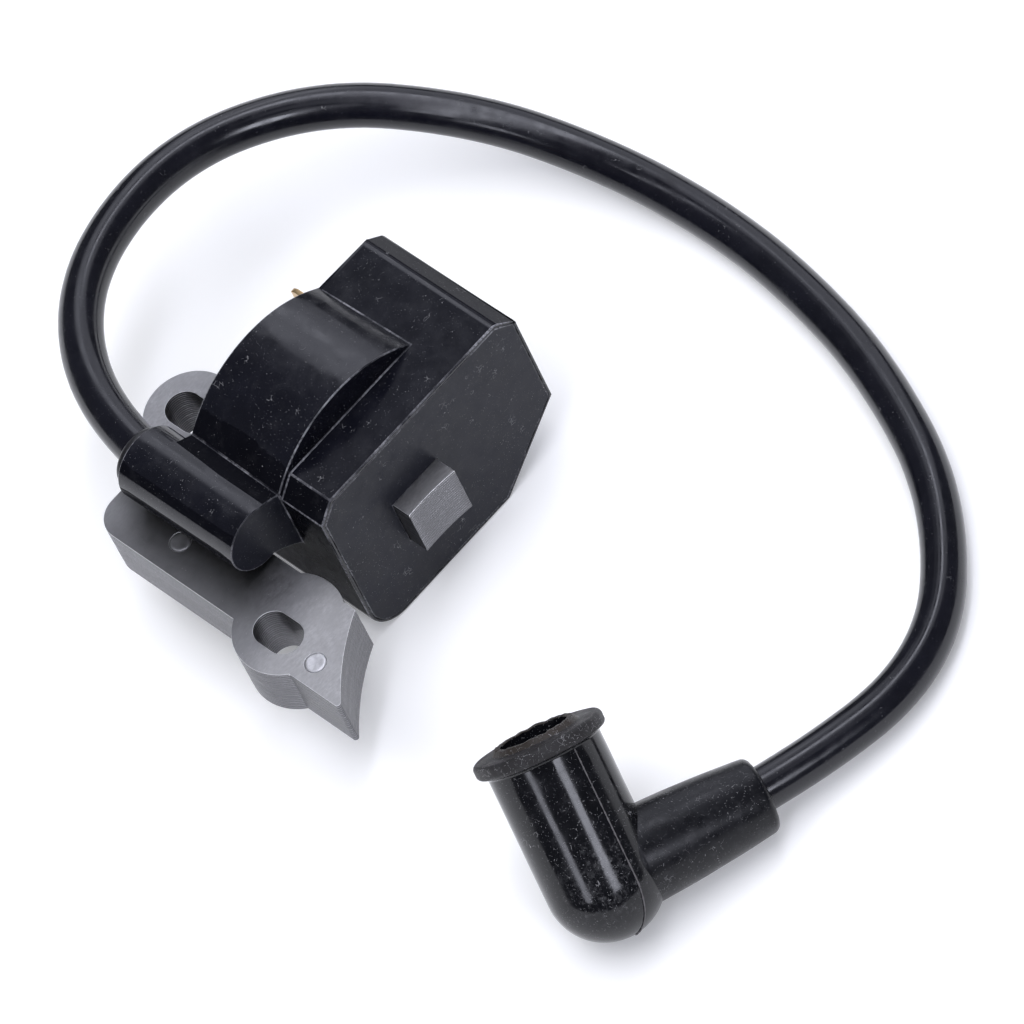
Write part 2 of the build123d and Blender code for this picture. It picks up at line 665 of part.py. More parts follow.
def bend_radii(points):
    """Radius of the arc at each inner point, as large as its two straight runs allow."""
    radii = []
    for before, here, after in zip(points, points[1:], points[2:]):
        arriving = Vector(*here) - Vector(*before)
        leaving = Vector(*after) - Vector(*here)
        turn = math.radians(arriving.get_angle(leaving))
        radii.append(0.45 * min(arriving.length, leaving.length) / math.tan(turn / 2))
    return radii


radii = bend_radii(route)
print("bend radii", [round(radius, 1) for radius in radii])

with BuildLine() as lead_path:
    FilletPolyline(*route, radius=radii)
lead_start = Plane(origin=route[0], x_dir=(1, 0, 0), z_dir=(0, 1, 0))

with BuildPart() as lead_jacket:
    with BuildSketch(lead_start):
        Circle(LEAD_RADIUS)
        Circle(CONDUCTOR_RADIUS, mode=Mode.SUBTRACT)
    sweep(path=lead_path.wire())
save(lead_jacket, "lead_jacket")

with BuildPart() as lead_conductor:
    with BuildSketch(lead_start):
        Circle(CONDUCTOR_RADIUS)
    sweep(path=lead_path.wire())
save(lead_conductor, "lead_conductor")

lead_length = lead_path.wire().length
jacket_section = math.pi * (LEAD_RADIUS**2 - CONDUCTOR_RADIUS**2)
print("lead length", round(lead_length, 1))
print("jacket volume", round(lead_jacket.part.volume), "of", round(jacket_section * lead_length))


# ---- potting: everything in the cavity that isn't a component ----

potted_pieces = [
    primary_bobbin,
    primary_winding,
    trigger_winding,
    secondary_bobbin,
    secondary_winding,
    circuit_board,
    discharge_capacitor,
    thyristor,
    *axial_parts,
    kill_blade,
    kill_wire,
    ground_strap,
    output_link,
]

with BuildPart() as potting_resin:
    with BuildSketch(facing(CAVITY_FRONT)):
        add(case_section(CASE_WALL))
        with Locations((0, CORE_MIDDLE)):
            Rectangle(LEG_WIDTH, CORE_THICKNESS, mode=Mode.SUBTRACT)
    extrude(amount=-CAVITY_DEPTH)
    with BuildSketch(facing(HUMP_FRONT + HUMP_WALL)):
        add(hump_section(HUMP_WALL))
    extrude(amount=HUMP_FRONT + HUMP_WALL - CASE_BACK + CASE_WALL)
    for piece in potted_pieces:
        add(piece.part, mode=Mode.SUBTRACT)
save(potting_resin, "potting_resin")
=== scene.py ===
import math
import random

import bmesh
import bpy
from mathutils import Matrix, Vector, noise


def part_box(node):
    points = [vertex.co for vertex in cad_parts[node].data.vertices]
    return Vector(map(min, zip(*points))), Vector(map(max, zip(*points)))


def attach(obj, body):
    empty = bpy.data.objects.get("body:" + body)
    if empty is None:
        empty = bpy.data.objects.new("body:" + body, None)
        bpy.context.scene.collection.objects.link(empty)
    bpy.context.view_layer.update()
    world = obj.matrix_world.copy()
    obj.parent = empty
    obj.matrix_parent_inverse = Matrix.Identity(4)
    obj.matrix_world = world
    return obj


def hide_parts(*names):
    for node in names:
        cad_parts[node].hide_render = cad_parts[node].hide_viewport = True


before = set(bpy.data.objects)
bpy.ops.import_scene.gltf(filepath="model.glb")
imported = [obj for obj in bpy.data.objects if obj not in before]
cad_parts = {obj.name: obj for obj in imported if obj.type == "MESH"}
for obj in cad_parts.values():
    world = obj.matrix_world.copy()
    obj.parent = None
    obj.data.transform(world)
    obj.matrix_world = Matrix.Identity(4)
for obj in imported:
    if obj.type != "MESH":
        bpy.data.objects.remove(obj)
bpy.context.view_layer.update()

# Ignition coil: a riveted core of steel sheets, a moulded case with a coil inside, and a high-tension
# lead with a spark plug boot. Metres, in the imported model's frame: +Z up, -Y towards the flywheel.

MM = 0.001
dice = random.Random(7)
scene = bpy.context.scene
ALONG_X = Vector((1, 0, 0))
ALONG_Y = Vector((0, 1, 0))
ALONG_Z = Vector((0, 0, 1))


# ---- camera ----

CAMERA_PLACE = Vector((-0.4019, -0.9297, 1.3736))
CAMERA_RIGHT = Vector((0.66007, -0.70167, -0.26825))
CAMERA_UP = Vector((0.71088, 0.46804, 0.52497))


def photo_camera():
    """The photo's view, from far away with a long lens."""
    data = bpy.data.cameras.new("camera")
    data.lens = 395.7
    data.sensor_width = 36
    data.clip_start = 0.05
    data.clip_end = 20
    camera = bpy.data.objects.new("camera", data)
    scene.collection.objects.link(camera)
    backwards = CAMERA_RIGHT.cross(CAMERA_UP)
    turn = Matrix((CAMERA_RIGHT, CAMERA_UP, backwards)).transposed().to_4x4()
    camera.matrix_world = Matrix.Translation(CAMERA_PLACE) @ turn
    return camera


scene.camera = photo_camera()
scene.view_settings.view_transform = "Standard"


# ---- node helpers ----


def shade(tone, factor):
    """The colour times a factor."""
    return tuple(factor * channel for channel in tone)


class Shader:
    """A material of nodes that ends in one Principled shader, in object coordinates."""

    def __init__(self, name, **sockets):
        self.material = bpy.data.materials.new(name)
        self.material.use_nodes = True
        self.nodes = self.material.node_tree.nodes
        self.links = self.material.node_tree.links
        self.surface = self.nodes["Principled BSDF"]
        for socket, value in sockets.items():
            self.surface.inputs[socket.replace("_", " ")].default_value = value
        self.place = self.nodes.new("ShaderNodeTexCoord").outputs["Object"]

    def node(self, kind, values=None, links=None, **settings):
        """A new node with values for its sockets, links into them and other settings."""
        made = self.nodes.new(f"ShaderNode{kind}")
        for setting, value in settings.items():
            setattr(made, setting, value)
        for socket, value in (values or {}).items():
            made.inputs[socket].default_value = value
        for socket, source in (links or {}).items():
            self.links.new(source, made.inputs[socket])
        return made

    def stretched(self, scale):
        """Object coordinates times a scale for each axis."""
        return self.node("Mapping", {"Scale": scale}, {"Vector": self.place}).outputs["Vector"]

    def along(self, axis, vector=None):
        """One component, X, Y or Z, of the object coordinates or of another vector."""
        split = self.node("SeparateXYZ", links={"Vector": vector or self.place})
        return split.outputs[axis]

    def noise(self, size, detail, place=None, rough=0.55):
        """Noise from 0 to 1 whose patches are about this many metres across."""
        values = {"Scale": 1 / size, "Detail": detail, "Roughness": rough}
        return self.node("TexNoise", values, {"Vector": place or self.place}).outputs["Fac"]

    def ramp(self, source, low, high, from_value=0.0, to_value=1.0):
        """The source's range from low to high as a slope between two values, level outside it."""
        values = {"From Min": low, "From Max": high, "To Min": from_value, "To Max": to_value}
        return self.node("MapRange", values, {"Value": source}, clamp=True).outputs["Result"]

    def calculate(self, operation, first, second):
        """A Math node on two sources, each a number or a socket."""
        made = self.node("Math", operation=operation)
        for index, source in enumerate((first, second)):
            if isinstance(source, (int, float)):
                made.inputs[index].default_value = source
            else:
                self.links.new(source, made.inputs[index])
        return made.outputs[0]

    def times(self, first, second):
        return self.calculate("MULTIPLY", first, second)

    def highest(self, first, *others):
        top = first
        for other in others:
            top = self.calculate("MAXIMUM", top, other)
        return top

    def mix(self, factor, first, second):
        """Colour between two colours, each a tuple or a socket."""
        made = self.node("Mix", data_type="RGBA")
        self.links.new(factor, made.inputs[0])
        for index, source in ((6, first), (7, second)):
            if isinstance(source, tuple):
                made.inputs[index].default_value = (*source, 1)
            else:
                self.links.new(source, made.inputs[index])
        return made.outputs[2]

    def specks(self, cell, radius, share):
        """White dots of this radius in a share of the cells of a 3-D pattern."""
        cells = self.node("TexVoronoi", {"Scale": 1 / cell}, {"Vector": self.place})
        near = self.ramp(cells.outputs["Distance"], radius / cell, 0.6 * radius / cell)
        chosen = self.node("SeparateColor", links={"Color": cells.outputs["Color"]})
        kept = self.calculate("LESS_THAN", chosen.outputs["Red"], share)
        return self.times(near, kept)

    def threads(self, cell, width, patch, share):
        """Short curved lines, as of lint and hair scratches: pieces of a cell pattern's edges.

        They show only where noise with patches of this size is above 1 - share.
        """
        bend = self.node("TexNoise", {"Scale": 0.6 / cell, "Detail": 1.0}, {"Vector": self.place})
        links = {0: bend.outputs["Color"]}
        shift = self.node("VectorMath", {1: (cell, cell, cell)}, links, operation="MULTIPLY")
        links = {0: self.place, 1: shift.outputs[0]}
        moved = self.node("VectorMath", links=links, operation="ADD")
        links = {"Vector": moved.outputs[0]}
        cells = self.node("TexVoronoi", {"Scale": 1 / cell}, links, feature="DISTANCE_TO_EDGE")
        line = self.ramp(cells.outputs["Distance"], width / cell, 0.3 * width / cell)
        kept = self.ramp(self.noise(patch, 1.0), 1 - share, 1 - share + 0.02)
        return self.times(line, kept)

    def bump(self, height, distance, over=None):
        """A normal from a height map, on top of another normal where one is given."""
        links = {"Height": height}
        if over is not None:
            links["Normal"] = over
        values = {"Strength": 1.0, "Distance": distance}
        return self.node("Bump", values, links).outputs["Normal"]

    def drive(self, **sources):
        """Links sources to the shader's sockets and returns the material."""
        for socket, source in sources.items():
            self.links.new(source, self.surface.inputs[socket.replace("_", " ")])
        return self.material


# ---- materials ----


def dirt_on(shader, dust, smudged):
    """Specks, crumbs, lint and scratches, which lie denser in some places than in others."""
    specks = shader.specks(1.3 * MM, 0.05 * MM, dust)
    crumbs = shader.specks(0.45 * MM, 0.028 * MM, 1.2 * dust)
    lint = shader.threads(1.2 * MM, 0.017 * MM, 0.3 * MM, 0.28 + 0.15 * dust)
    scratches = shader.threads(4.5 * MM, 0.03 * MM, 1.6 * MM, 0.25)
    scuffs = shader.threads(0.75 * MM, 0.032 * MM, 2.6 * MM, 0.26 + 0.06 * dust)
    worn = shader.times(shader.highest(scratches, scuffs), 0.65)
    loose = shader.highest(specks, crumbs, lint, worn)
    gathered = shader.ramp(shader.noise(9 * MM, 3), 0.38, 0.62, 0.15, 1.0)
    dirt = shader.times(loose, gathered)
    if not smudged:
        return dirt
    centre, reach = smudged
    away = shader.node("VectorMath", {1: centre}, {0: shader.place}, operation="DISTANCE")
    near = shader.ramp(away.outputs["Value"], 0.3 * reach, reach, 1.0, 0.0)
    powder = shader.ramp(shader.noise(0.9 * MM, 5, rough=0.75), 0.5, 0.75, 0.0, 0.19)
    smudge = shader.times(near, shader.highest(loose, powder))
    return shader.highest(dirt, smudge)


def black_moulding(name, tone, rough, gloss, grain, dust, waviness, smudged=None):
    """Black plastic or rubber with mould waviness, hair scratches, dust specks and lint.

    grain and waviness are the heights of its fine and its broad unevenness. smudged is a
    (centre, reach) around which dust and lint have gathered.
    """
    shader = Shader(name, Specular_IOR_Level=gloss)
    clouds = shader.noise(7 * MM, 4)
    body = shader.mix(clouds, shade(tone, 0.6), shade(tone, 1.5))
    haze = shader.ramp(shader.noise(2.2 * MM, 5, rough=0.7), 0.52, 0.78)
    dusty = shader.mix(shader.times(haze, 0.35 * dust), body, (0.05, 0.05, 0.055))
    dirt = dirt_on(shader, dust, smudged)
    pale = 0.15 + 0.26 * dust
    colour = shader.mix(dirt, dusty, (pale, pale, 1.04 * pale))
    patches = shader.noise(3.5 * MM, 5, rough=0.65)
    smear = shader.ramp(patches, 0.35, 0.7, rough - 0.06, rough + 0.12)
    roughness = shader.highest(smear, shader.times(dirt, 0.8))
    waves = shader.bump(shader.noise(5 * MM, 1), waviness)
    grained = shader.bump(shader.noise(0.25 * MM, 2), grain, over=waves)
    raised = shader.bump(dirt, 0.02 * MM, over=grained)
    return shader.drive(Base_Color=colour, Roughness=roughness, Normal=raised)


def worn_and_highlit_edge(name, tone, bright, share):
    """A moulded edge painted paler in uneven stretches: partly real rubbing, partly a painted
    highlight along the edge.
    """
    shader = Shader(name, Specular_IOR_Level=0.45)
    stretches = shader.ramp(shader.noise(6 * MM, 3, rough=0.6), 0.6 - share, 0.85 - share)
    nicks = shader.ramp(shader.noise(0.45 * MM, 4, rough=0.65), 0.35, 0.65, 0.15, 1.0)
    pale_edge = shader.times(stretches, nicks)
    colour = shader.mix(pale_edge, tone, bright)
    roughness = shader.ramp(pale_edge, 0.0, 1.0, 0.16, 0.5)
    return shader.drive(Base_Color=colour, Roughness=roughness, Normal=shader.bump(nicks, 0.03 * MM))


def painted_shade_share(shader, shaded_stretch, stains):
    """How much painted shade lies at a place, from 0 to 1, patchy and fading out at both ends: a
    darkening that stands for the shade under the case and socket.
    """
    front, rear = shaded_stretch
    behind_front = shader.ramp(shader.along("Y"), front - 7 * MM, front + 7 * MM)
    before_rear = shader.ramp(shader.along("Y"), rear - 5 * MM, rear + 5 * MM, 1.0, 0.0)
    shade_band = shader.times(behind_front, before_rear)
    return shader.times(shade_band, shader.ramp(stains, 0.3, 0.7, 1.0, 0.8))


def steel(name, tone, rough, brush, shaded_stretch=None, cut_and_shaded_tone=None):
    """Satin steel with a brushed grain, stains, pale flecks of painted sparkle and small pits. brush
    is the grain's scale.

    The argument after brush is the stretch of Y, from front to rear, darkened by painted shade
    under the case and socket. The last is the colour of the upright faces, partly the tone of cut
    sheets and partly painted shade on the sides; flat faces in front of that stretch are duller.
    """
    shader = Shader(name, Metallic=1.0)
    grain = shader.noise(1.0, 4, shader.stretched(brush), 0.6)
    stains = shader.noise(3 * MM, 5, rough=0.65)
    brushed = shader.mix(shader.ramp(grain, 0.3, 0.7), shade(tone, 0.85), shade(tone, 1.12))
    colour = shader.mix(shader.ramp(stains, 0.4, 0.75), brushed, shade(tone, 0.86))
    # Painted shade: the colour darkens over the stretch under the case and socket, where shade and a
    # dark reflection fall.
    if shaded_stretch:
        colour = shader.mix(painted_shade_share(shader, shaded_stretch, stains), colour, shade(tone, 0.42))
    # Upright faces get a much darker colour: partly the tone of cut sheet edges, partly painted shade
    # on the sides.
    if cut_and_shaded_tone:
        upward = shader.along("Z", shader.node("NewGeometry").outputs["Normal"])
        flat_share = shader.ramp(shader.calculate("ABSOLUTE", upward, 0.0), 0.5, 0.8)
        cut = shader.ramp(shader.noise(0.22 * MM, 3), 0.3, 0.7)
        cut_and_shaded_side = shader.mix(cut, shade(cut_and_shaded_tone, 0.8), shade(cut_and_shaded_tone, 1.2))
        colour = shader.mix(flat_share, cut_and_shaded_side, colour)
        front = shaded_stretch[0]
        ends = shader.ramp(shader.along("Y"), front - 7 * MM, front - 2 * MM, 0.17, 0.0)
        dulled = shader.times(ends, flat_share)
        shader.drive(Metallic=shader.calculate("SUBTRACT", 1.0, dulled))
    # Painted sparkle: pale flecks that stand for small glints of light on the steel.
    glints = shader.specks(0.7 * MM, 0.06 * MM, 0.3)
    pits = shader.specks(0.8 * MM, 0.05 * MM, 0.35)
    glinting = shader.mix(shader.times(glints, 0.5), colour, (0.95, 0.95, 0.95))
    pitted = shader.mix(pits, glinting, shade(tone, 0.6))
    roughness = shader.ramp(grain, 0.3, 0.7, rough - 0.05, rough + 0.07)
    brushed_height = shader.bump(grain, 0.003 * MM)
    unpitted = shader.calculate("SUBTRACT", 1.0, pits)
    height = shader.bump(unpitted, 0.02 * MM, over=brushed_height)
    return shader.drive(Base_Color=pitted, Roughness=roughness, Normal=height)


def plain_detail(name, tone, rough, metallic=0.0, size=0.5 * MM, depth=0.02 * MM, **sockets):
    """A mottled, faintly rough material for the parts inside the case."""
    shader = Shader(name, Metallic=metallic, **sockets)
    patches = shader.noise(size * 6, 4)
    fine = shader.noise(size, 3)
    light = tuple(min(1, channel) for channel in shade(tone, 1.3))
    colour = shader.mix(shader.ramp(patches, 0.3, 0.7), shade(tone, 0.7), light)
    roughness = shader.ramp(fine, 0.3, 0.7, max(0.05, rough - 0.1), rough + 0.1)
    return shader.drive(Base_Color=colour, Roughness=roughness, Normal=shader.bump(fine, depth))


def wound_wire(name, tone, pitch):
    """Enamelled copper wire in turns along Y, as bands in the colour and the height."""
    shader = Shader(name, Metallic=0.9, Coat_Weight=0.4, Coat_Roughness=0.15)
    # The wave node makes 20 * scale / tau bands in a metre.
    scale = math.tau / (20 * pitch)
    values = {"Scale": scale, "Distortion": 0.4, "Detail": 1.0}
    wave = shader.node("TexWave", values, {"Vector": shader.place}, bands_direction="Y")
    turns = wave.outputs["Fac"]
    patches = shader.noise(2 * MM, 3)
    colour = shader.mix(shader.ramp(turns, 0.1, 0.6), shade(tone, 0.45), tone)
    varied = shader.mix(shader.ramp(patches, 0.4, 0.7), colour, shade(tone, 0.7))
    roughness = shader.ramp(patches, 0.3, 0.7, 0.25, 0.42)
    return shader.drive(Base_Color=varied, Roughness=roughness, Normal=shader.bump(turns, 0.1 * MM))


# Blacks: name, tone, roughness, gloss, grain, dust, waviness.
CASE_BLACK = black_moulding(
    "case_black", (0.0045, 0.0048, 0.0082), 0.17, 0.45, 0.003 * MM, 0.5, 0.04 * MM
)
DULL_BLACK = black_moulding(
    "dull_black", (0.0045, 0.0048, 0.008), 0.16, 0.1, 0.003 * MM, 0.5, 0.02 * MM
)
DEEP_BLACK = black_moulding(
    "deep_black", (0.004, 0.0042, 0.0062), 0.22, 0.012, 0.003 * MM, 0.4, 0.02 * MM
)
FACE_BLACK = black_moulding(
    "face_black", (0.006, 0.0068, 0.013), 0.36, 0.2, 0.008 * MM, 0.7, 0.03 * MM
)
DOME_SMUDGE = (Vector((-33.1, -83.1, 16.3)) * MM, 9 * MM)
BOOT_BLACK = black_moulding(
    "boot_black", (0.0038, 0.004, 0.0055), 0.11, 0.36, 0.002 * MM, 0.9, 0.015 * MM, DOME_SMUDGE
)
COLLAR_BROWN = black_moulding(
    "collar_brown", (0.026, 0.021, 0.018), 0.5, 0.3, 0.03 * MM, 1.4, 0.05 * MM
)
FLANGE_BLACK = black_moulding(
    "flange_black", (0.018, 0.017, 0.018), 0.5, 0.3, 0.03 * MM, 1.4, 0.04 * MM
)
LEAD_BLACK = black_moulding(
    "lead_black", (0.0048, 0.005, 0.0085), 0.17, 0.5, 0.002 * MM, 0.25, 0.015 * MM
)
SLEEVE_BLACK = black_moulding(
    "sleeve_black", (0.0042, 0.0044, 0.0062), 0.29, 0.27, 0.006 * MM, 0.95, 0.03 * MM
)
PARTING_GREY = black_moulding(
    "parting_grey", (0.11, 0.105, 0.11), 0.45, 0.3, 0.03 * MM, 0.9, 0.02 * MM
)
# Case edges: partly real wear, partly a painted highlight along the rounded edges.
CASE_EDGE = worn_and_highlit_edge("case_edge", (0.012, 0.0125, 0.017), (0.3, 0.3, 0.33), 0.2)
SEAL_BLACK = black_moulding(
    "seal_black", (0.01, 0.01, 0.012), 0.35, 0.4, 0.02 * MM, 0.5, 0.05 * MM
)

# Stretch of Y, front to rear, where the core's steel and rivets get painted shade under the case and
# socket.
UNDER_CASE_STRETCH = (-11 * MM, 23 * MM)
SHEET_BRUSH = (1300, 3200, 1500)
SHEET_STEEL = steel(
    "sheet_steel", (0.56, 0.555, 0.56), 0.36, SHEET_BRUSH, UNDER_CASE_STRETCH, (0.155, 0.155, 0.165)
)
# Painted highlight: pale steel for the top sheet's rounded edges, standing for bright lines of light
# along them.
HIGHLIGHT_STEEL = steel("highlight_steel", (0.9, 0.9, 0.91), 0.5, SHEET_BRUSH)
RIVET_STEEL = steel("rivet_steel", (0.85, 0.845, 0.85), 0.5, (2500, 2500, 300), UNDER_CASE_STRETCH)
BRASS = steel("brass", (0.78, 0.56, 0.3), 0.3, (900, 900, 4000))

MATERIALS = {
    "case_shell": CASE_BLACK,
    "front_cover": FACE_BLACK,
    "core_stack": SHEET_STEEL,
    "top_lamination": SHEET_STEEL,
    "bottom_lamination": SHEET_STEEL,
    "foot_rivet": RIVET_STEEL,
    "bar_rivet": RIVET_STEEL,
    "yoke_rivet": RIVET_STEEL,
    "kill_blade": BRASS,
    "output_pin": BRASS,
    "boot_contact": BRASS,
    "lead_seal": SEAL_BLACK,
    "boot": BOOT_BLACK,
    "lead_jacket": LEAD_BLACK,
    "plug_spring": steel("spring_steel", (0.5, 0.5, 0.5), 0.25, (2000, 2000, 2000)),
    "lead_conductor": wound_wire("stranded_copper", (0.8, 0.4, 0.25), 0.3 * MM),
    "primary_winding": wound_wire("primary_wire", (0.72, 0.28, 0.12), 0.4 * MM),
    "trigger_winding": wound_wire("trigger_wire", (0.7, 0.32, 0.14), 0.25 * MM),
    "secondary_winding": wound_wire("secondary_wire", (0.62, 0.22, 0.09), 0.12 * MM),
    "primary_bobbin": plain_detail("primary_bobbin", (0.62, 0.58, 0.48), 0.45),
    "secondary_bobbin": plain_detail("secondary_bobbin", (0.5, 0.48, 0.42), 0.45),
    "circuit_board": plain_detail("board_laminate", (0.05, 0.2, 0.09), 0.35, size=0.3 * MM),
    "discharge_capacitor": plain_detail("capacitor_film", (0.5, 0.1, 0.03), 0.25, Coat_Weight=0.5),
    "thyristor": plain_detail("component_epoxy", (0.025, 0.025, 0.028), 0.5),
    "charge_diode": plain_detail("diode_epoxy", (0.03, 0.03, 0.032), 0.4),
    "clamp_diode": plain_detail("clamp_epoxy", (0.03, 0.03, 0.032), 0.4),
    "gate_resistor": plain_detail("resistor_lacquer", (0.42, 0.33, 0.2), 0.35),
    "kill_wire": plain_detail("tinned_kill_wire", (0.7, 0.7, 0.7), 0.3, 1.0),
    "ground_strap": plain_detail("tinned_strap", (0.68, 0.68, 0.67), 0.35, 1.0),
    "output_link": plain_detail("tinned_link", (0.7, 0.7, 0.7), 0.3, 1.0),
    "potting_resin": plain_detail("potting_epoxy", (0.02, 0.018, 0.016), 0.3, depth=0.05 * MM),
}


def dress(obj, material):
    obj.data.materials.clear()
    obj.data.materials.append(material)


def dress_cad_node(node_name):
    """Gives each material slot of a CAD node's mesh the node's material."""
    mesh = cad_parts[node_name].data
    if not mesh.materials:
        mesh.materials.append(MATERIALS[node_name])
    for slot_index in range(len(mesh.materials)):
        mesh.materials[slot_index] = MATERIALS[node_name]


for cad_node in MATERIALS:
    dress_cad_node(cad_node)


# ---- mesh helpers ----

LONG_CORNER = 0.8 * MM
MERGED_WITHIN = 0.002 * MM
FLAT_BELOW = math.radians(0.8)
SHARP_ABOVE = math.radians(32)
FILLET_STEPS = 6


def smooth_mesh(name, shape):
    """The bmesh, which is freed, as a mesh with smooth faces."""
    mesh = bpy.data.meshes.new(name)
    shape.to_mesh(mesh)
    shape.free()
    for polygon in mesh.polygons:
        polygon.use_smooth = True
    return mesh


def piece_of(name, mesh, node_name):
    """A new piece that rides on the body, with the material of the CAD node it stands for."""
    obj = bpy.data.objects.new(name, mesh)
    scene.collection.objects.link(obj)
    dress(obj, MATERIALS[node_name])
    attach(obj, "root")
    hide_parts(node_name)
    return obj


def rounding(obj, name, layer, width, segments):
    """A bevel of this width on the edges that a weight layer marks."""
    bevel = obj.modifiers.new(name, "BEVEL")
    bevel.width = width
    bevel.segments = segments
    bevel.limit_method = "WEIGHT"
    bevel.edge_weight = layer
    bevel.use_clamp_overlap = False
    return bevel


def refined(node_name, name, bevel, segments=2, shift=(0, 0, 0), wide=None, thick=None,
            edge_material=None):
    """A copy of a CAD node's shape with joined flat faces and small rounded edges.

    wide(edge) picks the edges that are rounded by LONG_CORNER, and thick(edge) those that
    get the whole bevel where the others get half of it.
    """
    shape = bmesh.new()
    shape.from_mesh(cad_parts[node_name].data)
    bmesh.ops.remove_doubles(shape, verts=shape.verts, dist=MERGED_WITHIN)
    bmesh.ops.dissolve_limit(shape, angle_limit=FLAT_BELOW, verts=shape.verts, edges=shape.edges)
    bmesh.ops.translate(shape, vec=shift, verts=shape.verts)
    fine_weights = shape.edges.layers.float.new("fine_weight")
    wide_weights = shape.edges.layers.float.new("wide_weight")
    for edge in shape.edges:
        if edge.calc_face_angle(0.0) > SHARP_ABOVE:
            if wide and wide(edge):
                edge[wide_weights] = 1.0
            else:
                edge[fine_weights] = 0.5 if thick and not thick(edge) else 1.0
    obj = piece_of(name, smooth_mesh(name, shape), node_name)
    if wide:
        rounding(obj, "corners", "wide_weight", LONG_CORNER, 6)
    edges = rounding(obj, "edges", "fine_weight", bevel, segments)
    if edge_material:
        obj.data.materials.append(edge_material)
        edges.material = 1
    obj.modifiers.new("weighted", "WEIGHTED_NORMAL")
    return obj


def paint_faces(obj, material, direction, nearest_x=-1.0, farthest_x=1.0, smallest_area=0.0):
    """Gives the flat faces that look in this direction another material.

    Faces with their centre outside the range of x, in metres, or below the area stay as they are.
    """
    obj.data.materials.append(material)
    slot = len(obj.data.materials) - 1
    aim = Vector(direction).normalized()
    for polygon in obj.data.polygons:
        inside = nearest_x < polygon.center.x < farthest_x
        if inside and polygon.normal.dot(aim) > 0.99 and polygon.area > smallest_area:
            polygon.material_index = slot


def rounded(corners):
    """Points of a profile through (radius, height, fillet) corners, with an arc for each fillet."""
    points = []
    for index, (radius, height, fillet) in enumerate(corners):
        here = Vector((radius, height))
        if not fillet:
            points.append(tuple(here))
            continue
        before = Vector(corners[index - 1][:2])
        after = Vector(corners[index + 1][:2])
        arriving = (here - before).normalized()
        leaving = (after - here).normalized()
        turn = arriving.angle(leaving)
        start = here - arriving * fillet * math.tan(turn / 2)
        end = here + leaving * fillet * math.tan(turn / 2)
        inward = (leaving - arriving).normalized()
        centre = here + inward * fillet / math.cos(turn / 2)
        for step in range(FILLET_STEPS + 1):
            spoke = (start - centre).lerp(end - centre, step / FILLET_STEPS).normalized() * fillet
            points.append(tuple(centre + spoke))
    return points


def lathe(name, node_name, profile, origin, axis, side, steps, shape_point):
    """A closed mesh turned about an axis. Profile points are (radius, height) in millimetres.

    shape_point(angle, radius, height) gives the radius and height after small irregularities.
    """
    shape = bmesh.new()
    other = axis.cross(side)
    rings = []
    for radius, height in profile:
        ring = []
        count = 1 if radius < 1e-6 else steps
        for step in range(count):
            angle = math.tau * step / steps
            worn_radius, worn_height = shape_point(angle, radius, height)
            spoke = side * math.cos(angle) + other * math.sin(angle)
            offset = (axis * worn_height + spoke * worn_radius) * MM
            ring.append(shape.verts.new(origin + offset))
        rings.append(ring)
    for lower, upper in zip(rings, rings[1:]):
        for step in range(steps):
            after = (step + 1) % steps
            corners = [lower[step % len(lower)], lower[after % len(lower)]]
            corners += [upper[after % len(upper)], upper[step % len(upper)]]
            unique = list(dict.fromkeys(corners))
            if len(unique) > 2:
                shape.faces.new(unique)
    bmesh.ops.recalc_face_normals(shape, faces=shape.faces)
    obj = piece_of(name, smooth_mesh(name, shape), node_name)
    obj.modifiers.new("weighted", "WEIGHTED_NORMAL")
    return obj


# ---- core: twenty separate sheets ----

SHEET = 0.5 * MM
SHEET_PLAY = 0.018 * MM


def core_sheets():
    """The core's sheets from the bottom up, the inner ones a little out of line."""
    top_low, top_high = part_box("top_lamination")
    bottom_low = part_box("bottom_lamination")[0]
    sheet_count = round((top_high.z - bottom_low.z) / SHEET)
    for index in range(sheet_count):
        lowest = index == 0
        highest = index == sheet_count - 1
        play = 0 if lowest or highest else SHEET_PLAY
        drop = top_low.z - bottom_low.z - index * SHEET
        shift = (dice.uniform(-play, play), dice.uniform(-play, play), -drop)
        # The top sheet's rounded edges get the painted highlight steel.
        pale_edge = HIGHLIGHT_STEEL if highest else None
        name = f"core_sheet_{index + 1:02d}"
        sheet = refined("top_lamination", name, 0.07 * MM, 2, shift, edge_material=pale_edge)
        if lowest:
            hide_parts("bottom_lamination")
        elif highest:
            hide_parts("top_lamination")
        else:
            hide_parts("core_stack")


core_sheets()


# ---- case, cover and blade ----

# The cover fills the case's front, so its box gives the sides of both.
cover_low, cover_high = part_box("front_cover")
CASE_BACK = 14.1 * MM
SOCKET_SIDE = -16 * MM
CHAMFER_SIDE = 20 * MM
SAME_PLACE = 0.1 * MM  # places nearer to each other than this count as one


def long_corner(edge):
    """True for the case's outer corners, which run from front to back and are rounder."""
    first, second = (vert.co for vert in edge.verts)
    along_y = abs(first.z - second.z) < SAME_PLACE and abs(first.x - second.x) < SAME_PLACE
    outside = first.z > cover_high.z - SAME_PLACE or first.x > cover_high.x - 4 * MM
    return along_y and outside and abs(first.y - second.y) > 20 * MM


def rear_corner(edge):
    """True for the long edges around the top of the case's back, which are rounded as well."""
    first, second = (vert.co for vert in edge.verts)
    at_back = min(first.y, second.y) > CASE_BACK - SAME_PLACE
    near_top = min(first.z, second.z) > 25 * MM
    return at_back and near_top and (first - second).length > 5 * MM


def round_corner(edge):
    return long_corner(edge) or rear_corner(edge)


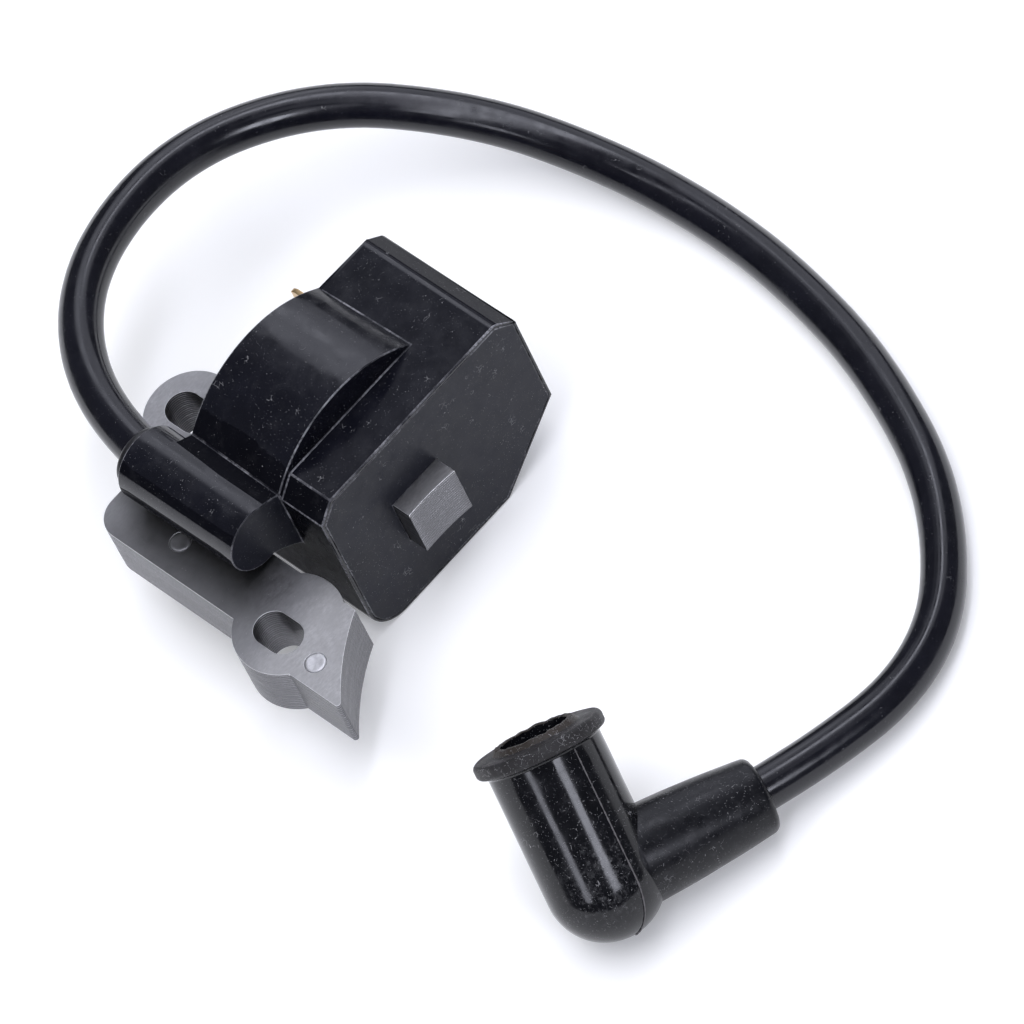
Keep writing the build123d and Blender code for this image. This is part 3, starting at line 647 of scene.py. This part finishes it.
def front_rim(edge):
    """True for the edges around the case's front opening."""
    return max(vert.co.y for vert in edge.verts) < cover_low.y + 0.3 * MM


def case_moulding():
    case = refined(
        "case_shell", "case_moulding", 0.4 * MM, 4, wide=round_corner, thick=front_rim,
        edge_material=CASE_EDGE,
    )
    paint_faces(case, DEEP_BLACK, (-1, 0, 0))
    paint_faces(case, DEEP_BLACK, (-1, 0, 1))
    paint_faces(case, DEEP_BLACK, (0.35, 0, 0.94), smallest_area=50 * MM * MM)
    paint_faces(case, FACE_BLACK, (0, -1, 0), farthest_x=SOCKET_SIDE)
    paint_faces(case, DULL_BLACK, (0.64, 0, 0.77), nearest_x=CHAMFER_SIDE)
    return case


case_moulding()
cover = refined("front_cover", "cover_plate", 0.22 * MM, 3, edge_material=CASE_EDGE)
blade = refined("kill_blade", "kill_blade_pressed", 0.1 * MM)


# ---- rivets with peened heads ----


def peened_rivet(node_name):
    """A rivet whose two ends are dimpled and a little uneven."""
    low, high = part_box(node_name)
    radius = (high.x - low.x) / 2 / MM
    half = (high.z - low.z) / 2 / MM
    dimple = [(0, half - 0.05), (0.45 * radius, half - 0.04), (0.62 * radius, half - 0.01)]
    shoulder = [(0.75 * radius, half), (0.93 * radius, half - 0.03), (0.98 * radius, half - 0.12)]
    head = dimple + shoulder
    shank = [(0.985 * radius, 0.5 * half), (0.985 * radius, -0.5 * half)]
    tail = [(reach, -height) for reach, height in reversed(head)]

    def peened(angle, reach, height):
        return reach, height - 0.02 * math.cos(5 * angle + 1) * min(1.0, reach / radius)

    profile = head + shank + tail
    middle = (low + high) / 2
    name = f"{node_name}_peened"
    return lathe(name, node_name, profile, middle, ALONG_Z, ALONG_X, 40, peened)


for rivet_node in ("foot_rivet", "bar_rivet", "yoke_rivet"):
    peened_rivet(rivet_node)


# ---- lead ----

BOOT_CENTRE = Vector((-30.9, -78.3, 9.0)) * MM
boot_up = Vector((0.325, 0.653, 0.684)).normalized()
level_side = Vector((boot_up.y, -boot_up.x, 0)).normalized()
SLEEVE_SLOPE = math.radians(10.6)
sleeve_rise = boot_up.cross(level_side)
sleeve_out = level_side * math.cos(SLEEVE_SLOPE) + sleeve_rise * math.sin(SLEEVE_SLOPE)
sleeve_origin = BOOT_CENTRE + boot_up * 1.0 * MM
LEAD_END = 9.0 * MM
LAST_TURN = 31.0 * MM
LEAD_RADIUS = 3.5 * MM

route = [
    Vector((-22.6, 8, 28.5)) * MM,
    Vector((-22.6, 29, 28.5)) * MM,
    Vector((-7, 53, 26.5)) * MM,
    Vector((20, 60.2, 23)) * MM,
    Vector((43, 51, 17.5)) * MM,
    Vector((57.4, 32, 11)) * MM,
    Vector((64.3, 12, 6)) * MM,
    Vector((66.6, -8, 3.7)) * MM,
    Vector((65.3, -27, 3.5)) * MM,
    Vector((60.5, -49, 3.5)) * MM,
    Vector((49, -74, 3.5)) * MM,
    Vector((27.5, -92, 3.5)) * MM,
    sleeve_origin + sleeve_out * LAST_TURN,
    sleeve_origin + sleeve_out * LEAD_END,
]


def high_tension_lead():
    """The lead as one curve from inside the case's socket to inside the boot's sleeve."""
    curve = bpy.data.curves.new("lead", "CURVE")
    curve.dimensions = "3D"
    spline = curve.splines.new("NURBS")
    spline.points.add(len(route) - 1)
    for point, spot in zip(spline.points, route):
        point.co = (*spot, 1)
    spline.order_u = 3
    spline.use_endpoint_u = True
    spline.use_smooth = True
    curve.resolution_u = 16
    curve.bevel_depth = LEAD_RADIUS
    curve.bevel_resolution = 14
    curve.use_fill_caps = True
    obj = bpy.data.objects.new("lead", curve)
    scene.collection.objects.link(obj)
    dress(obj, LEAD_BLACK)
    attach(obj, "root")
    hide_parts("lead_jacket")
    return obj


lead = high_tension_lead()


# ---- spark plug boot, in millimetres from its centre along boot_up ----

BOOT_RADIUS = 9.0
BOOT_LENGTH = 23.6
FLANGE_RADIUS = 10.4
FLANGE_FOOT = 21.6
COLLAR_TOP = 24.6
BORE_RADIUS = 5.4
CHAMBER_RADIUS = 4.3
CHAMBER_TOP = 10.6
CHAMBER_FOOT = -1.4
NEAR_SIDE = 8.8
SIDE_STEPS = 10
DOME_STEPS = 26
PARTING_ANGLE = math.radians(-70)
FLANGE_SLOT = 1
COLLAR_SLOT = 2


def parting_ridge(angle):
    """Height of the mould's parting line at this angle, in millimetres."""
    turned = (angle - PARTING_ANGLE) % math.pi
    off = min(turned, math.pi - turned)
    return 0.05 * math.exp(-((off / 0.03) ** 2))


def worn_boot(angle, radius, height):
    """Boot surface with the parting ridge, a wavy flange and a ragged collar."""
    around = Vector((math.cos(angle), math.sin(angle), height / 14))
    if radius > NEAR_SIDE and height < FLANGE_FOOT:
        return radius + parting_ridge(angle) + 0.03 * noise.noise(around * 2), height
    if radius > NEAR_SIDE:
        wave = 0.09 * noise.noise(around * 2.5)
        return radius - abs(wave), height + wave
    if height > BOOT_LENGTH + 0.2:
        ragged = height + 0.2 * noise.noise(around * 5) - 0.1
        return radius + 0.12 * noise.noise(around * 7), ragged
    return radius, height


def boot_profile():
    """The boot's outline from the dome's tip, over the flange and collar, to the chamber's floor."""
    dome = []
    for step in range(DOME_STEPS):
        turn = math.pi / 2 * step / DOME_STEPS
        dome.append((BOOT_RADIUS * math.sin(turn), -BOOT_RADIUS * math.cos(turn)))
    side_length = FLANGE_FOOT - 0.9
    side = [(BOOT_RADIUS, side_length * step / SIDE_STEPS) for step in range(SIDE_STEPS)]
    flange = rounded(
        [
            (BOOT_RADIUS, FLANGE_FOOT - 3.0, 0),
            (BOOT_RADIUS, FLANGE_FOOT - 0.6, 0.4),
            (FLANGE_RADIUS, FLANGE_FOOT, 0.7),
            (FLANGE_RADIUS, BOOT_LENGTH, 0.7),
            (7.0, BOOT_LENGTH, 0.3),
            (6.3, COLLAR_TOP, 0.15),
            (BORE_RADIUS, COLLAR_TOP, 0.2),
            (BORE_RADIUS, 17.0, 0),
        ]
    )
    bore = [(BORE_RADIUS, 13.0), (BORE_RADIUS, CHAMBER_TOP), (CHAMBER_RADIUS, CHAMBER_TOP)]
    chamber = [(CHAMBER_RADIUS, 4.0), (CHAMBER_RADIUS, CHAMBER_FOOT), (0, CHAMBER_FOOT)]
    return dome + side + flange[1:] + bore + chamber


def boot_elbow():
    """The boot's body, with the flange and the collar in their own materials."""
    body = lathe(
        "boot_body", "boot", boot_profile(), BOOT_CENTRE, boot_up, sleeve_out, 300, worn_boot
    )
    body.data.materials.append(FLANGE_BLACK)
    body.data.materials.append(COLLAR_BROWN)
    for polygon in body.data.polygons:
        offset = (polygon.center - BOOT_CENTRE) / MM
        height = offset.dot(boot_up)
        radius = (offset - boot_up * height).length
        if height > BOOT_LENGTH + 0.1:
            polygon.material_index = COLLAR_SLOT
        elif height > FLANGE_FOOT - 0.3 and radius > BORE_RADIUS + 0.05:
            polygon.material_index = FLANGE_SLOT
    return body


BEAD_TOP = 20.8
BEAD_SIDE_STEPS = 60
BEAD_DOME_STEPS = 32
BEAD_DOME_TURN = math.radians(80)
BEAD_CORNERS = 6


def bead_trail():
    """(radius, height) of the parting line's points, down the boot's side and over its dome."""
    trail = []
    for step in range(BEAD_SIDE_STEPS + 1):
        trail.append((BOOT_RADIUS, BEAD_TOP * (1 - step / BEAD_SIDE_STEPS)))
    for step in range(1, BEAD_DOME_STEPS + 1):
        turn = BEAD_DOME_TURN * step / BEAD_DOME_STEPS
        trail.append((BOOT_RADIUS * math.cos(turn), -BOOT_RADIUS * math.sin(turn)))
    return trail


def parting_bead():
    """A thin ragged bead along the boot's parting line, half sunk into its side and dome."""
    spoke = sleeve_out * math.cos(PARTING_ANGLE) + boot_up.cross(sleeve_out) * math.sin(PARTING_ANGLE)
    side = boot_up.cross(spoke)
    shape = bmesh.new()
    rings = []
    for radius, height in bead_trail():
        outward = (spoke * radius + boot_up * min(height, 0)).normalized()
        spot = spoke * radius + boot_up * height + outward * 0.1
        size = 0.1 + 0.09 * noise.noise(spot * 1.9)
        ring = []
        for corner in range(BEAD_CORNERS):
            turn = math.tau * corner / BEAD_CORNERS
            offset = outward * math.cos(turn) * size + side * math.sin(turn) * size
            ring.append(shape.verts.new(BOOT_CENTRE + (spot + offset) * MM))
        rings.append(ring)
    for lower, upper in zip(rings, rings[1:]):
        for corner in range(BEAD_CORNERS):
            after = (corner + 1) % BEAD_CORNERS
            shape.faces.new((lower[corner], lower[after], upper[after], upper[corner]))
    shape.faces.new(rings[0])
    shape.faces.new(rings[-1])
    bmesh.ops.recalc_face_normals(shape, faces=shape.faces)
    bead = piece_of("boot_parting_bead", smooth_mesh("boot_parting_bead", shape), "boot")
    dress(bead, PARTING_GREY)
    return bead


boot_body = boot_elbow()
parting = parting_bead()


# ---- the boot's sleeve, in millimetres from its origin along sleeve_out ----

SLEEVE_LENGTH = 27.0
SLEEVE_START = 4.5
SLEEVE_RIM = SLEEVE_LENGTH - 1.5
SLEEVE_STEPS = 14
SLEEVE_ROOT_RADIUS = 7.5
SLEEVE_MIDDLE = 14.0
SLEEVE_MIDDLE_RADIUS = 7.1
SLEEVE_END_RADIUS = 5.9


def sleeve_radius(distance):
    """Parabola through the sleeve's root, middle and end radii."""
    slope = (SLEEVE_MIDDLE_RADIUS - SLEEVE_ROOT_RADIUS) / SLEEVE_MIDDLE
    sag = SLEEVE_END_RADIUS - SLEEVE_ROOT_RADIUS - slope * SLEEVE_LENGTH
    curving = sag / (SLEEVE_LENGTH * (SLEEVE_LENGTH - SLEEVE_MIDDLE))
    return SLEEVE_ROOT_RADIUS + slope * distance + curving * distance * (distance - SLEEVE_MIDDLE)


def worn_sleeve(angle, radius, distance):
    """Sleeve surface that is a little uneven along its side and chewed at its end."""
    around = Vector((math.cos(angle), math.sin(angle), distance / 10))
    if radius > 4.5 and distance < SLEEVE_LENGTH - 1:
        return radius + 0.04 * noise.noise(around * 2), distance
    if distance > SLEEVE_LENGTH - 1:
        return radius, distance - 0.08 * abs(noise.noise(around * 5))
    return radius, distance


def lead_sleeve():
    """The side sleeve that the lead is pushed into."""
    profile = [(0, SLEEVE_START)]
    for step in range(SLEEVE_STEPS + 1):
        distance = SLEEVE_START + (SLEEVE_RIM - SLEEVE_START) * step / SLEEVE_STEPS
        profile.append((sleeve_radius(distance), distance))
    lead_radius = LEAD_RADIUS / MM
    rim = rounded(
        [
            (sleeve_radius(SLEEVE_RIM), SLEEVE_RIM, 0),
            (SLEEVE_END_RADIUS, SLEEVE_LENGTH, 1.2),
            (lead_radius + 0.4, SLEEVE_LENGTH, 0.2),
            (lead_radius, SLEEVE_LENGTH - 4, 0),
        ]
    )
    bore_radius = lead_radius + 0.02
    bore = [(bore_radius, 20.0), (bore_radius, LEAD_END / MM), (0, LEAD_END / MM)]
    profile += rim[1:] + bore
    sleeve = lathe(
        "boot_sleeve", "boot", profile, sleeve_origin, sleeve_out, boot_up, 160, worn_sleeve
    )
    dress(sleeve, SLEEVE_BLACK)
    return sleeve


boot_sleeve = lead_sleeve()


# ---- seal at the socket's rear end, in millimetres from the node's front ----

SEAL_INNER = 3.6
SEAL_OUTER = 5.15
SEAL_LENGTH = 2.0


def torn_lip(angle, radius, height):
    """Seal surface whose rear lip is torn."""
    around = Vector((math.cos(angle), math.sin(angle), radius / 6))
    if height > 1.4:
        torn = height + 0.25 * noise.noise(around * 6) - 0.2
        return radius + 0.14 * noise.noise(around * 8), torn
    return radius - 0.05 * abs(noise.noise(around * 4)), height


def socket_seal():
    low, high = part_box("lead_seal")
    centre = Vector(((low.x + high.x) / 2, low.y, (low.z + high.z) / 2))
    profile = rounded(
        [
            (SEAL_INNER, 0, 0),
            (SEAL_OUTER, 0, 0),
            (SEAL_OUTER, SEAL_LENGTH, 1.1),
            (SEAL_INNER + 0.4, SEAL_LENGTH, 0.2),
            (SEAL_INNER, SEAL_LENGTH - 0.5, 0.1),
            (SEAL_INNER, 0, 0),
        ]
    )
    return lathe("lead_seal_torn", "lead_seal", profile, centre, ALONG_Y, ALONG_Z, 96, torn_lip)


socket_seal()


# ---- floor and studio light ----

FLOOR_HALF = 3.0
FLOOR_DROP = 0.2 * MM
STUDIO_WHITE = (0.86, 0.88, 1.0)


def white_floor():
    """A matt white floor just under the part."""
    shape = bmesh.new()
    bmesh.ops.create_grid(shape, x_segments=8, y_segments=8, size=FLOOR_HALF)
    bmesh.ops.translate(shape, vec=(0, 0, -FLOOR_DROP), verts=shape.verts)
    obj = bpy.data.objects.new("floor", smooth_mesh("floor", shape))
    scene.collection.objects.link(obj)
    shader = Shader("floor_white", Specular_IOR_Level=0.0, Roughness=0.9, Emission_Strength=0.2)
    shader.surface.inputs["Emission Color"].default_value = (0.97, 0.98, 1, 1)
    tone = shader.mix(shader.noise(0.4, 2), (0.84, 0.84, 0.845), (0.87, 0.87, 0.875))
    dress(obj, shader.drive(Base_Color=tone))
    return obj


def studio_world():
    """Faint light from all around, with a plain white wall where the camera looks past the floor."""
    world = bpy.data.worlds.new("studio")
    world.use_nodes = True
    nodes = world.node_tree.nodes
    links = world.node_tree.links
    faint = nodes["Background"]
    faint.inputs["Color"].default_value = (0.9, 0.93, 1, 1)
    faint.inputs["Strength"].default_value = 0.1
    wall = nodes.new("ShaderNodeBackground")
    wall.inputs["Color"].default_value = (1, 1, 1, 1)
    seen = nodes.new("ShaderNodeLightPath")
    backdrop = nodes.new("ShaderNodeMixShader")
    links.new(seen.outputs["Is Camera Ray"], backdrop.inputs["Fac"])
    links.new(faint.outputs[0], backdrop.inputs[1])
    links.new(wall.outputs[0], backdrop.inputs[2])
    links.new(backdrop.outputs[0], nodes["World Output"].inputs["Surface"])
    return world


def softbox(name, direction, distance, width, height, radiance, colour=STUDIO_WHITE):
    """A rectangular light that faces the object from this direction."""
    light = bpy.data.lights.new(name, "AREA")
    light.shape = "RECTANGLE"
    light.size = width
    light.size_y = height
    light.color = colour
    light.energy = radiance * math.pi * width * height
    lamp = bpy.data.objects.new(name, light)
    scene.collection.objects.link(lamp)
    towards = Vector(direction).normalized()
    turn = towards.to_track_quat("Z", "Y").to_matrix().to_4x4()
    lamp.matrix_world = Matrix.Translation(towards * distance) @ turn
    lamp.visible_camera = False
    return lamp


def strip(name, start, end, distance, width, radiance):
    """A long narrow light between two directions, for a streak on rounded surfaces."""
    first = Vector(start).normalized() * distance
    last = Vector(end).normalized() * distance
    middle = (first + last) / 2
    along = (last - first).normalized()
    upward = (middle - along * middle.dot(along)).normalized()
    lamp = softbox(name, middle, middle.length, (last - first).length, width, radiance)
    turn = Matrix((along, upward.cross(along), upward)).transposed().to_4x4()
    lamp.matrix_world = Matrix.Translation(middle) @ turn


white_floor()
scene.world = studio_world()

# Softboxes: name, direction, distance, width, height, radiance.
softbox("rear_window", (0.7, 0.52, 0.5), 2.7, 2.2, 1.8, 1.1)
softbox("rear_edge", (0.593, 0.54, 0.6), 2.6, 0.16, 1.8, 1.6)
softbox("rear_gap", (0.43, 0.54, 0.725), 2.65, 0.36, 1.5, 0.9)
softbox("right_window", (0.5, 0.12, 0.85), 2.7, 0.9, 1.5, 1.0)
softbox("ceiling", (-0.02, -0.2, 0.97), 2.8, 1.8, 1.3, 0.55)
softbox("rear_ceiling", (0.22, 0.54, 0.81), 2.8, 0.9, 0.9, 0.2)
strip("streak_a", (0.6, 0.33, 0.72), (-0.6, -0.45, 0.66), 2.6, 0.26, 4.5)
strip("streak_b", (-0.42, 0.2, 0.89), (0.06, 0.45, 0.89), 2.6, 0.2, 3.0)
softbox("front_fill", (-0.12, -0.6, 0.79), 2.6, 0.9, 0.5, 1.1)
softbox("boot_narrow", (-0.82, -0.30, 0.49), 2.6, 0.42, 1.0, 6.0)
softbox("boot_wide", (-0.07, -0.81, 0.58), 2.6, 0.62, 0.8, 9.0)
floor_wash = softbox("floor_wash", (-0.1, 0.1, 1.0), 2.2, 2.4, 2.4, 2.0, (1, 1, 1))
floor_wash.visible_glossy = False
